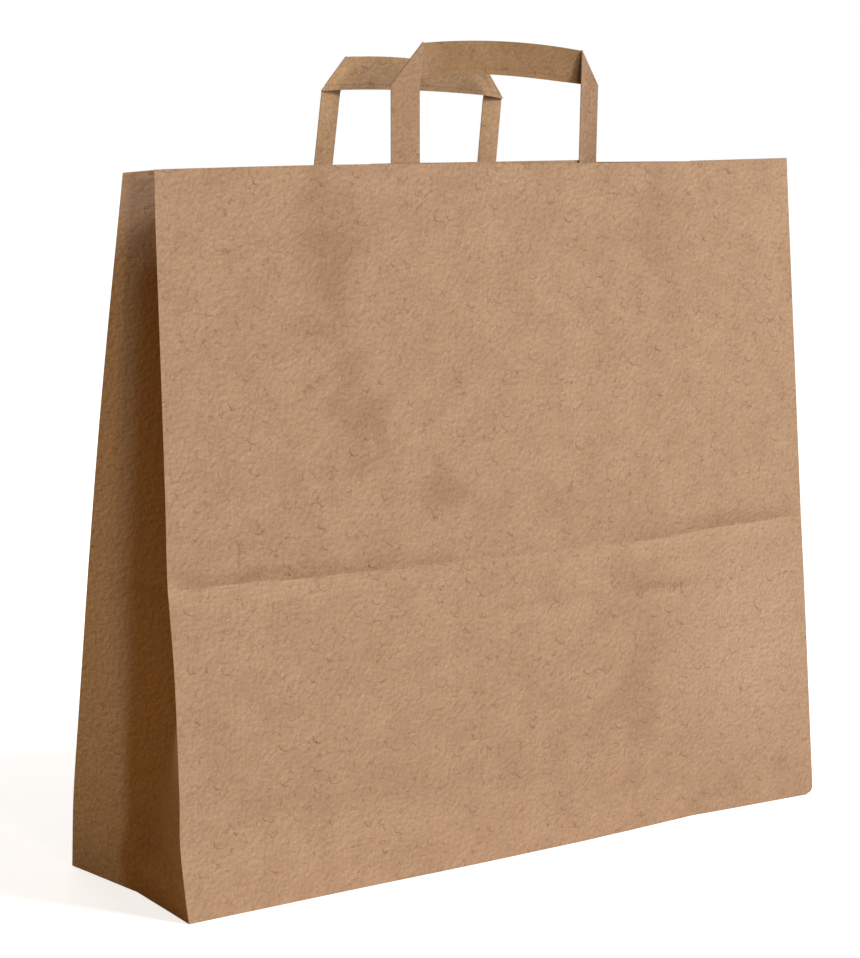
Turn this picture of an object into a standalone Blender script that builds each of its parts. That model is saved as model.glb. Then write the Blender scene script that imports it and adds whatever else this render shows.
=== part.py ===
"""Paper carrier bag with a block bottom, V gussets and two flat folded handles.

Metres, +Z up. The origin is the middle of the base, on the surface the bag stands on.
The front panel faces -Y and the gussets face -X and +X.
"""

from math import cos, pi, radians, sin, sqrt

import bmesh
import bpy
from mathutils import Vector

# Main sizes of the bag as it stands open
BAG_WIDTH = 0.540
BAG_DEPTH = 0.150
FRONT_RIM_HEIGHT = 0.4725
BACK_RIM_DROP = 0.0030
PAPER = 0.00015
GAP = 0.0003

# Bends that run round the bag: the fold above the block bottom, and the crease of flat storage
BASE_FOLD_HEIGHT = 0.050
CREASE_HEIGHT = 0.208
CREASE_DEPTH = 0.0013
CREASE_REACH = 0.009
CREASE_SHARPNESS = 1.5

# How far each upright edge has come in from the base line: at the base fold, the crease and the rim
FRONT_LEFT_LEAN = (0.0110, 0.0250, 0.0400)
FRONT_RIGHT_LEAN = (0.0045, 0.0185, 0.0415)
BACK_LEAN = (0.0005, 0.0190, 0.0670)

# How far the middle of each panel stands out from its two edges, at the same three heights
FRONT_BOW = (0.0020, 0.0080, 0.0055)
BACK_BOW = (0.0000, 0.0165, 0.0655)

# How far each upright edge has come in along the width at the rim, as the panels bow
FRONT_LEFT_INSET = 0.0065
FRONT_RIGHT_INSET = 0.0008
BACK_INSET = 0.0080

# Waviness of the front rim, and how far the gusset is tucked in where it meets the base
RIM_WAVE = 0.0011
BASE_TUCK = 0.0065

# Block bottom: two long flaps that overlap on the middle line, over an ear folded in at each end
FLAP_OVERLAP = 0.020
EAR_DEPTH = 0.095
PLATE_BITE = 0.00002
WALL_FOOT = PAPER / 4

# Handle tape, the same for both handles
TAPE_WIDTH = 0.024
TAPE_THICKNESS = 0.0006
FOLD_RADIUS = 0.0006
TAIL_LENGTH = 0.040
TWIST_REACH = 0.030

# Patch that glues a handle to its panel, and the room it leaves round a leg beneath it
PATCH_HEIGHT = 0.045
PATCH_MARGIN = 0.007
PATCH_SLOPE = 0.012
PATCH_SLOPE_PER_LIFT = 1.5
PATCH_SIDE_ROOM = 0.0009
PATCH_TWIST_ROOM = 0.0009
FRONT_PATCH_PROUD = 0.0017
BACK_PATCH_PROUD = -0.0010

# Each handle: angles in degrees, and pairs hold the left leg's value before the right leg's
FRONT_HANDLE = {
    "spacing": 0.159,
    "shift": 0.0020,
    "patch_shift": -0.0045,
    "twist": (0.0, 22.0),
    "rise": (0.0523, 0.0530),
    "fold_rise": (0.0262, 0.0225),
    "fold_opening": (0.0005, 0.0060),
    "arch_low": 0.0075,
    "arch_high": 0.0055,
    "lean_in": 0.0,
}
BACK_HANDLE = {
    "spacing": 0.141,
    "shift": -0.0050,
    "patch_shift": 0.0,
    "twist": (20.0, 20.0),
    "rise": (0.0508, 0.0467),
    "fold_rise": (0.0234, 0.0176),
    "fold_opening": (0.0010, 0.0005),
    "arch_low": 0.0030,
    "arch_high": 0.0055,
    "lean_in": 0.0060,
}

# Fineness of the faceted solids
FRONT_COLUMNS = 18
BACK_COLUMNS = 30
GUSSET_COLUMNS = 3
BASE_ROWS = 3
LOWER_ROWS = 5
UPPER_ROWS = 7
CREASE_ROWS = (-1.0, -0.6, -0.25, 0.0, 0.25, 0.6, 1.0)
TAPE_COLUMNS = 4
TAIL_ROWS = 8
LEG_ROWS = (0.3, 0.6, 0.85)
STRIP_STATIONS = 14
FOLD_STEPS = 3

HALF_WIDTH = BAG_WIDTH / 2
HALF_DEPTH = BAG_DEPTH / 2
BACK_RIM_HEIGHT = FRONT_RIM_HEIGHT - BACK_RIM_DROP


def clear_scene():
    for old in list(bpy.data.objects):
        bpy.data.objects.remove(old, do_unlink=True)


def new_collection(name):
    collection = bpy.data.collections.new(name)
    bpy.context.scene.collection.children.link(collection)
    return collection


def paper_material(name, colour):
    material = bpy.data.materials.new(name)
    material.use_nodes = True
    shader = material.node_tree.nodes["Principled BSDF"]
    shader.inputs["Base Color"].default_value = (*colour, 1.0)
    shader.inputs["Roughness"].default_value = 0.85
    shader.inputs["Metallic"].default_value = 0.0
    return material


def evenly(start, end, count):
    """Values from start to end in even steps, both ends among them."""
    return [start + (end - start) * step / count for step in range(count + 1)]


def along_bends(values, z):
    """A value that is 0 at the base and changes evenly between the bends and on to the rim."""
    heights = (0.0, BASE_FOLD_HEIGHT, CREASE_HEIGHT, FRONT_RIM_HEIGHT)
    levels = (0.0, *values)
    low = max(index for index in range(3) if index == 0 or z >= heights[index])
    share = (z - heights[low]) / (heights[low + 1] - heights[low])
    return levels[low] + share * (levels[low + 1] - levels[low])


def crease_shift(z):
    """The crease of flat storage pushes every wall the same way, deepest on its line."""
    share = max(0.0, 1.0 - abs(z - CREASE_HEIGHT) / CREASE_REACH)
    return CREASE_DEPTH * share**CREASE_SHARPNESS


def arch(share):
    """0 at both ends of a span and 1 in its middle."""
    return 4 * share * (1 - share)


def edge_x(inset, z):
    return HALF_WIDTH - inset * z / FRONT_RIM_HEIGHT


def front_panel(x_share, z):
    """A point of the front panel, x_share running from 0 at its left edge to 1 at its right."""
    left = -edge_x(FRONT_LEFT_INSET, z)
    right = edge_x(FRONT_RIGHT_INSET, z)
    lean_left = along_bends(FRONT_LEFT_LEAN, z)
    lean_right = along_bends(FRONT_RIGHT_LEAN, z)
    lean = lean_left + x_share * (lean_right - lean_left)
    bow = along_bends(FRONT_BOW, z) * arch(x_share)
    y = -HALF_DEPTH + lean - bow + crease_shift(z)
    return Vector((left + x_share * (right - left), y, z))


def back_panel(x_share, z):
    """A point of the back panel, x_share running from 0 at its left edge to 1 at its right."""
    reach = edge_x(BACK_INSET, z)
    bow = along_bends(BACK_BOW, z) * arch(x_share)
    y = HALF_DEPTH - along_bends(BACK_LEAN, z) + bow + crease_shift(z)
    return Vector((reach * (2 * x_share - 1), y, z))


def panel_y(panel, x, z):
    """The panel's y at a given x, found from its two edges."""
    left = panel(0.0, z).x
    right = panel(1.0, z).x
    return panel((x - left) / (right - left), z).y


def gusset_fold(front_edge, back_edge):
    """The middle fold of a gusset: each half keeps its width, so the fold goes in as the edges close."""
    half_gusset = sqrt(HALF_DEPTH**2 + BASE_TUCK**2)
    middle = (front_edge + back_edge) / 2
    half_mouth = (back_edge - front_edge).length / 2
    tuck = sqrt(max(half_gusset**2 - half_mouth**2, BASE_TUCK**2))
    ramp = min(middle.z / BASE_FOLD_HEIGHT, 1.0)
    tuck = BASE_TUCK + (tuck - BASE_TUCK) * ramp
    inward = -1 if middle.x > 0 else 1
    return middle + Vector((inward * tuck, 0, 0))


def front_rim(x_share):
    return FRONT_RIM_HEIGHT - RIM_WAVE * sin(2 * pi * (x_share - 0.5))


def stretched(z, rim):
    """A row's height where the rim is higher or lower: the part above the crease takes it up."""
    if z <= CREASE_HEIGHT:
        return z
    share = (z - CREASE_HEIGHT) / (FRONT_RIM_HEIGHT - CREASE_HEIGHT)
    return CREASE_HEIGHT + share * (rim - CREASE_HEIGHT)


def wall_rows():
    """Heights of the wall's rows, closest together round the crease."""
    base = evenly(WALL_FOOT, BASE_FOLD_HEIGHT, BASE_ROWS)
    crease = [CREASE_HEIGHT + CREASE_REACH * share for share in CREASE_ROWS]
    lower = evenly(BASE_FOLD_HEIGHT, crease[0], LOWER_ROWS)
    upper = evenly(crease[-1], FRONT_RIM_HEIGHT, UPPER_ROWS)
    return base + lower[1:-1] + crease + upper[1:]


def section(z):
    """The wall's points at one row, once round the bag, anticlockwise seen from above."""
    shares = evenly(0.0, 1.0, FRONT_COLUMNS)
    front = [front_panel(share, stretched(z, front_rim(share))) for share in shares]
    shares = evenly(1.0, 0.0, BACK_COLUMNS)
    back = [back_panel(share, stretched(z, BACK_RIM_HEIGHT)) for share in shares]
    right_fold = gusset_fold(front[-1], back[0])
    left_fold = gusset_fold(front[0], back[-1])
    points = list(front)
    for start, end in ((front[-1], right_fold), (right_fold, back[0])):
        points += [start.lerp(end, share) for share in evenly(0.0, 1.0, GUSSET_COLUMNS)[1:]]
    points += back[1:]
    for start, end in ((back[-1], left_fold), (left_fold, front[0])):
        points += [start.lerp(end, share) for share in evenly(0.0, 1.0, GUSSET_COLUMNS)[1:]]
    return points[:-1]


def sheet_object(name, rows, closed, thickness, collection):
    """A thin sheet through rows of points, given its thickness evenly on both sides."""
    mesh = bpy.data.meshes.new(name)
    sheet = bmesh.new()
    lines = [[sheet.verts.new(point) for point in row] for row in rows]
    for low, high in zip(lines, lines[1:]):
        count = len(low)
        for index in range(count if closed else count - 1):
            following = (index + 1) % count
            sheet.faces.new((low[index], low[following], high[following], high[index]))
    sheet.to_mesh(mesh)
    sheet.free()
    piece = bpy.data.objects.new(name, mesh)
    collection.objects.link(piece)
    thicken = piece.modifiers.new("Paper", "SOLIDIFY")
    thicken.thickness = thickness
    thicken.offset = 0.0
    thicken.use_even_offset = True
    thicken.use_quality_normals = True
    return piece


def plate_object(name, outline, low, collection):
    """A flat flap of the bottom: an outline one paper thick, from the height low upwards."""
    mesh = bpy.data.meshes.new(name)
    plate = bmesh.new()
    face = plate.faces.new([plate.verts.new((x, y, low)) for x, y in outline])
    raised = bmesh.ops.extrude_face_region(plate, geom=[face], use_keep_orig=True)
    top = [item for item in raised["geom"] if isinstance(item, bmesh.types.BMVert)]
    bmesh.ops.translate(plate, verts=top, vec=(0, 0, PAPER + PLATE_BITE))
    bmesh.ops.recalc_face_normals(plate, faces=plate.faces)
    plate.to_mesh(mesh)
    plate.free()
    piece = bpy.data.objects.new(name, mesh)
    collection.objects.link(piece)
    piece.hide_render = True
    piece.display_type = "WIRE"
    return piece


def long_flap(name, panel, side, low, collection):
    """The flap folded in from the front or back wall, its ends cut at 45 degrees."""
    flap_depth = HALF_DEPTH + FLAP_OVERLAP
    left = panel(0.0, low)
    right = panel(1.0, low)
    free_y = side * (HALF_DEPTH - flap_depth)
    outline = [
        (left.x, left.y),
        (right.x, right.y),
        (right.x - flap_depth, free_y),
        (left.x + flap_depth, free_y),
    ]
    return plate_object(name, outline, low, collection)


def end_ear(name, end, low, collection):
    """The ear folded in from a gusset, straight across at its inner edge."""
    share = 0.0 if end < 0 else 1.0
    front_edge = front_panel(share, low)
    back_edge = back_panel(share, low)
    fold = gusset_fold(front_edge, back_edge)
    inner_x = end * (HALF_WIDTH - EAR_DEPTH)
    outline = [
        (front_edge.x, front_edge.y),
        (fold.x, fold.y),
        (back_edge.x, back_edge.y),
        (inner_x, back_edge.y - GAP),
        (inner_x, front_edge.y + GAP),
    ]
    return plate_object(name, outline, low, collection)


def build_body(collection, joined, material):
    """The whole folded and glued sheet: walls and gussets, with the block bottom from the outside in."""
    body = sheet_object("bag_body", [section(z) for z in wall_rows()], True, PAPER, collection)
    body.data.materials.append(material)
    flaps = [
        long_flap("back_flap", back_panel, 1, 0.0, joined),
        long_flap("front_flap", front_panel, -1, PAPER, joined),
        end_ear("left_ear", -1, 2 * PAPER, joined),
        end_ear("right_ear", 1, 2 * PAPER, joined),
    ]
    for flap in flaps:
        join = body.modifiers.new(flap.name, "BOOLEAN")
        join.operation = "UNION"
        join.solver = "EXACT"
        join.object = flap


def tape_offset():
    """From the middle of the panel's paper to the middle of the tape glued on it."""
    return PAPER / 2 + GAP + TAPE_THICKNESS / 2


def turned_share(height):
    """A leg's turn grows smoothly from nothing, low under the patch, to all of it at the rim."""
    share = min(max(1 + height / TWIST_REACH, 0.0), 1.0)
    return share * share * (3 - 2 * share)


def leg_centre(handle, leg):
    return handle["shift"] + (leg - 0.5) * handle["spacing"]


def leg_edges(handle, leg, panel, inward, rim, height):
    """The left and right edge of a leg at a height above the rim, which may be below it.

    The edge towards the panel stays on it, and the twist swings the other edge inwards.
    """
    turned = turned_share(height)
    angle = radians(handle["twist"][leg]) * turned
    pivot_x = leg_centre(handle, leg) - inward * TAPE_WIDTH / 2
    free_x = pivot_x + inward * TAPE_WIDTH * cos(angle)
    on_panel = rim + min(height, 0.0)
    pivot_y = panel_y(panel, pivot_x, on_panel) + inward * tape_offset()
    flat_y = panel_y(panel, free_x, on_panel) + inward * tape_offset()
    free_y = flat_y + turned * (pivot_y - flat_y) + inward * TAPE_WIDTH * sin(angle)
    lean = inward * handle["lean_in"] * max(height, 0.0) / handle["rise"][0]
    pivot = Vector((pivot_x, pivot_y + lean, rim + height))
    free = Vector((free_x, free_y + lean, rim + height))
    return (pivot, free) if inward > 0 else (free, pivot)


def tail_heights():
    """Rows of the glued tail, from its end under the patch up to the rim."""
    return evenly(-TAIL_LENGTH, 0.0, TAIL_ROWS)


def leg_stations(handle, leg, panel, inward, rim):
    """Pairs of points up one leg, outer edge first, from the glued tail to the slanted fold."""
    rise = handle["rise"][leg]
    stations = []
    for height in tail_heights() + [rise * share for share in LEG_ROWS]:
        left, right = leg_edges(handle, leg, panel, inward, rim, height)
        stations.append((left, right) if leg == 0 else (right, left))
    low = leg_edges(handle, leg, panel, inward, rim, rise)
    high = leg_edges(handle, leg, panel, inward, rim, rise + handle["fold_rise"][leg])
    stations.append((low[0], high[1]) if leg == 0 else (low[1], high[0]))
    return stations


def fold_over(outer, inner, leg, inward):
    """The round of a slanted fold, from the leg's layer to the strip's layer on its inner side."""
    line = (inner - outer).normalized()
    across = Vector((1, 0, 0)) if leg == 0 else Vector((-1, 0, 0))
    normal = line.cross(across).normalized()
    if normal.y * inward < 0:
        normal = -normal
    away = line.cross(normal).normalized()
    if away.z < 0:
        away = -away
    pairs = []
    for angle in evenly(0.0, pi, FOLD_STEPS)[1:]:
        shift = away * (FOLD_RADIUS * sin(angle)) + normal * (FOLD_RADIUS * (1 - cos(angle)))
        pairs.append((outer + shift, inner + shift))
    return pairs


def between_knots(knots, x):
    """The y at x on the straight lines through the knots."""
    for (x0, y0), (x1, y1) in zip(knots, knots[1:]):
        if x <= x1:
            break
    return y0 + (y1 - y0) * (x - x0) / (x1 - x0)


def strip_stations(handle, start, end, inner_edges, inward):
    """Pairs of points along the grip strip, lower edge first, between its two slanted folds."""
    low_start, high_start = start
    low_end, high_end = end
    knots = [(low_start.x, low_start.y)]
    for edge, opening in zip(inner_edges, handle["fold_opening"]):
        knots.append((edge.x, edge.y + inward * (2 * FOLD_RADIUS + opening)))
    knots.append((low_end.x, low_end.y))
    stations = []
    for share in evenly(0.0, 1.0, STRIP_STATIONS)[1:-1]:
        low = low_start.lerp(low_end, share)
        low.z += handle["arch_low"] * arch(share)
        low.y = between_knots(knots, low.x)
        high = high_start.lerp(high_end, share)
        high.z += handle["arch_high"] * arch(share)
        stations.append((low, high))
    return stations


def build_handle(name, handle, panel, inward, rim, collection, material):
    """One length of folded tape: up a leg, over the slanted fold, along, over again and down."""
    left = leg_stations(handle, 0, panel, inward, rim)
    right = leg_stations(handle, 1, panel, inward, rim)
    over_left = fold_over(*left[-1], 0, inward)
    over_right = fold_over(*right[-1], 1, inward)
    inner_edges = (
        leg_edges(handle, 0, panel, inward, rim, handle["rise"][0])[1],
        leg_edges(handle, 1, panel, inward, rim, handle["rise"][1])[0],
    )
    strip = strip_stations(handle, over_left[-1], over_right[-1], inner_edges, inward)
    tape = left + over_left + strip + over_right[::-1] + right[::-1]
    if inward < 0:
        tape = tape[::-1]
    across = evenly(0.0, 1.0, TAPE_COLUMNS)
    rows = [[edge.lerp(other, share) for share in across] for edge, other in tape]
    piece = sheet_object(name, rows, False, TAPE_THICKNESS, collection)
    piece.data.materials.append(material)


def patch_over_leg(handle, leg, panel, inward, rim, height, x):
    """How far in from the panel the patch lies where it passes over a leg."""
    left, right = leg_edges(handle, leg, panel, inward, rim, height)
    tape_y = left.y + (right.y - left.y) * (x - left.x) / (right.x - left.x)
    on_panel = rim + min(height, 0.0)
    turn = sin(radians(handle["twist"][leg]) * turned_share(height))
    room = GAP + PATCH_TWIST_ROOM * turn
    return inward * (tape_y - panel_y(panel, x, on_panel)) + (TAPE_THICKNESS + PAPER) / 2 + room


def leg_cover(handle, leg, panel, inward, rim):
    """The x at both sides of a leg where the patch leaves it, and the slopes down to the panel."""
    reach = TAPE_WIDTH / 2 + PATCH_SIDE_ROOM
    ends = [leg_centre(handle, leg) + side * reach for side in (-1, 1)]
    held = [patch_over_leg(handle, leg, panel, inward, rim, 0.0, x) for x in ends]
    slopes = [PATCH_SLOPE + PATCH_SLOPE_PER_LIFT * lift for lift in held]
    return ends, slopes


def patch_offset(handle, panel, inward, rim, height, x):
    """How far in from the panel the patch lies: flat on it, or held off by the legs beneath."""
    offset = PAPER + GAP
    for leg in (0, 1):
        ends, slopes = leg_cover(handle, leg, panel, inward, rim)
        if ends[0] <= x <= ends[1]:
            held = patch_over_leg(handle, leg, panel, inward, rim, height, x)
        else:
            side = 0 if x < ends[0] else 1
            edge = patch_over_leg(handle, leg, panel, inward, rim, height, ends[side])
            held = edge * (1 - abs(x - ends[side]) / slopes[side])
        offset = max(offset, held)
    return offset


def patch_columns(handle, panel, inward, rim, start, end):
    """The patch's upright lines: its ends, where it bends over each leg, and evenly between."""
    columns = [start]
    for leg in (0, 1):
        ends, slopes = leg_cover(handle, leg, panel, inward, rim)
        left_foot = max(ends[0] - slopes[0], start)
        right_foot = min(ends[1] + slopes[1], end)
        stops = [(left_foot, round((left_foot - columns[-1]) / PATCH_SLOPE))]
        stops += [(ends[0], 1), (ends[1], TAPE_COLUMNS), (right_foot, 1)]
        for stop, count in stops:
            if stop > columns[-1]:
                columns += evenly(columns[-1], stop, max(count, 1))[1:]
    if end > columns[-1]:
        columns.append(end)
    return columns


def build_patch(name, handle, panel, inward, rim, proud, collection, material):
    """The paper patch over a handle's glued tails, on the inner side of its panel."""
    centre = handle["shift"] + handle["patch_shift"]
    half = (handle["spacing"] + TAPE_WIDTH) / 2 + PATCH_MARGIN
    columns = patch_columns(handle, panel, inward, rim, centre - half, centre + half)
    heights = [proud - PATCH_HEIGHT]
    heights += [height for height in tail_heights() if height < proud]
    heights.append(proud)
    rows = []
    for height in heights:
        on_panel = rim + min(height, 0.0)
        row = []
        for x in columns:
            offset = patch_offset(handle, panel, inward, rim, height, x)
            row.append(Vector((x, panel_y(panel, x, on_panel) + inward * offset, rim + height)))
        rows.append(row if inward < 0 else row[::-1])
    piece = sheet_object(name, rows, False, PAPER, collection)
    piece.data.materials.append(material)


def main():
    clear_scene()
    bag = new_collection("paper_carrier_bag")
    joined = new_collection("joined_flaps")
    kraft = paper_material("kraft_paper", (0.47, 0.30, 0.18))
    tape = paper_material("kraft_tape", (0.42, 0.26, 0.15))
    patch = paper_material("kraft_patch", (0.45, 0.28, 0.17))
    build_body(bag, joined, kraft)
    sides = (
        ("front", FRONT_HANDLE, front_panel, 1, FRONT_RIM_HEIGHT, FRONT_PATCH_PROUD),
        ("back", BACK_HANDLE, back_panel, -1, BACK_RIM_HEIGHT, BACK_PATCH_PROUD),
    )
    for side, handle, panel, inward, rim, proud in sides:
        build_handle(side + "_handle", handle, panel, inward, rim, bag, tape)
        build_patch(side + "_handle_patch", handle, panel, inward, rim, proud, bag, patch)


main()
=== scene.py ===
"""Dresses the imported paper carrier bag: its folded sheet, tape handles and glued patches, on a pale floor."""

from math import cos, pi, radians, sin, sqrt

import bmesh
import bpy
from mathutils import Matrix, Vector, noise


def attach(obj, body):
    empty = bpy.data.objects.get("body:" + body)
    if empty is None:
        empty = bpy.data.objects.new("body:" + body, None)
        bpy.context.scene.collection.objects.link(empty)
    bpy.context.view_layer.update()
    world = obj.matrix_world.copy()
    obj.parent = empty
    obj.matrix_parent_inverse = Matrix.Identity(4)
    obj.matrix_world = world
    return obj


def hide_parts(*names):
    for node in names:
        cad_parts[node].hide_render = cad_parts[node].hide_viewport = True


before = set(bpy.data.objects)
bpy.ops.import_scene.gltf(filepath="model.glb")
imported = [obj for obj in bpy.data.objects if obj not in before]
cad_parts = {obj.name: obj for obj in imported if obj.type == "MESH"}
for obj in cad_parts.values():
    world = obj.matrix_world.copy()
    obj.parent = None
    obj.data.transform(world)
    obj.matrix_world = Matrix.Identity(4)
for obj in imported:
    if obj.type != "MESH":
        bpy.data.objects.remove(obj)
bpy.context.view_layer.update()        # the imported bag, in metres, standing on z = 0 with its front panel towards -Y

# Camera
# It looks at the front panel from the left, with the lens a little above the rim, so that the rim is a
# nearly level line and the left gusset shows as a narrow dark side.
PHOTO_HEIGHT = 958
FOCAL_PIXELS = 2610
CAMERA_PLACE = (-1.071, -1.457, 0.517)
CAMERA_DOWN = 8.33
CAMERA_RIGHT = 35.56
camera = bpy.data.objects.new("camera", bpy.data.cameras.new("camera"))
camera.data.sensor_width = 36.0
camera.data.lens = camera.data.sensor_width * FOCAL_PIXELS / PHOTO_HEIGHT
camera.location = CAMERA_PLACE
camera.rotation_euler = (radians(90 - CAMERA_DOWN), 0.0, radians(-CAMERA_RIGHT))
bpy.context.scene.collection.objects.link(camera)
bpy.context.scene.camera = camera

# Brown kraft paper
# Recycled kraft of about 100 g/m2: a matt, slightly felted sheet in which long fibres lie as short curls and
# dark specks of pulp show here and there. The bag, the tape and the patches are all made of it.
# The real felt has bumps of about 1 mm and fibres 0.03 mm wide. Both are too fine to show in the render, so the
# grain is drawn at 2.9 and 1.4 mm and a fibre as a line of about half a millimetre.
GRAIN = 0.0029
FINE_GRAIN = 0.0014
# The grain's painted light and shade: its lit side lies along this shift, painted with this contrast, and more
# strongly deep in a gusset's painted fold shade
GRAIN_LIGHT_SHIFT = (-0.00068, 0.00045, 0.00075)
GRAIN_CONTRAST = 0.62
FOLD_GRAIN_CONTRAST = 0.95
GRAIN_HEIGHT = 0.00021
CLOUD = 0.024
CURL_SPACING = 0.0125
CURL_RADIUS = 0.33
CURL_SIDE = (-0.55, 0.0, -0.83)
FIBRE_SPACING = 0.0065
FIBRE_PATCH = 0.0055
FIBRE_DRIFT = 0.004
FIBRE_BEND = 0.0035
FIBRE_TONE = "7A563A"
SPECK_SPACING = 0.020
SPECK_TONE = "5E3D24"


def linear(hex_colour):
    """An sRGB colour written as six hex digits, turned linear."""
    channels = [int(hex_colour[index:index + 2], 16) / 255 for index in (0, 2, 4)]
    return [c / 12.92 if c <= 0.04045 else ((c + 0.055) / 1.055) ** 2.4 for c in channels] + [1.0]


def add_node(owner, kind, inputs=(), output=0, **settings):
    """Adds a node with its settings, links or sets each of its inputs, and returns one of its outputs."""
    node = owner.node_tree.nodes.new("ShaderNode" + kind)
    for name, value in settings.items():
        setattr(node, name, value)
    for key, source in dict(inputs).items():
        if isinstance(source, bpy.types.NodeSocket):
            owner.node_tree.links.new(node.inputs[key], source)
        else:
            node.inputs[key].default_value = source
    return node.outputs[output]


# A Map Range takes its value at 0, its from range at 1 and 2 and its to range, if not 0 to 1, at 3 and 4. A Mix
# of colours takes its factor at 0 and the colours at 6 and 7, and gives the result at 2.
SMOOTH = {"interpolation_type": "SMOOTHSTEP"}
MIXED = {"output": 2, "data_type": "RGBA"}


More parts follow.
